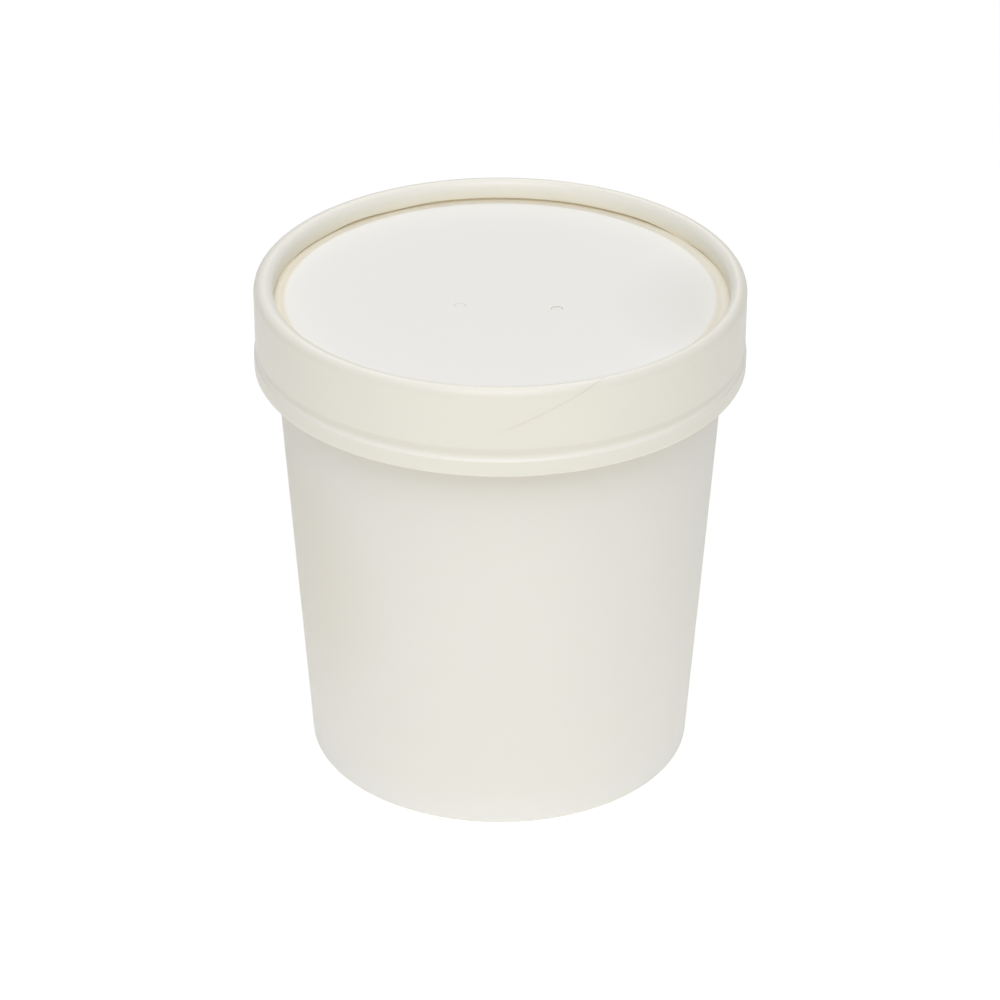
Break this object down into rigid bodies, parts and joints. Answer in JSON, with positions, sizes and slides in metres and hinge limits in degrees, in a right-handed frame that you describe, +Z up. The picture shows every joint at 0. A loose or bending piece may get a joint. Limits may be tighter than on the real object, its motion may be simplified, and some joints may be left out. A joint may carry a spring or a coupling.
{
  "type": "paper soup cup with lid",
  "caption": "Tapered round paper soup cup, shut with a vented paper lid that has an upright skirt, a folded hem and a rolled ridge along its top.",
  "frame": {"origin": "middle of the ring that the foot stands on", "axes": "+Z up along the cup's own axis, the two vents side by side along X and a little towards -Y, which is the front"},
  "size_m": [0.0996, 0.0996, 0.1051],
  "materials": {
    "cup_paper": "smooth white coated cup board, faint satin",
    "lid_strip_paper": "smooth white coated board, wound and rolled, satin",
    "lid_panel_paper": "smooth white board, matt"
  },
  "bodies": {
    "root": {"cup": "cup_paper", "lid_ring": "lid_strip_paper", "lid_disc": "lid_panel_paper"}
  },
  "joints": []
}
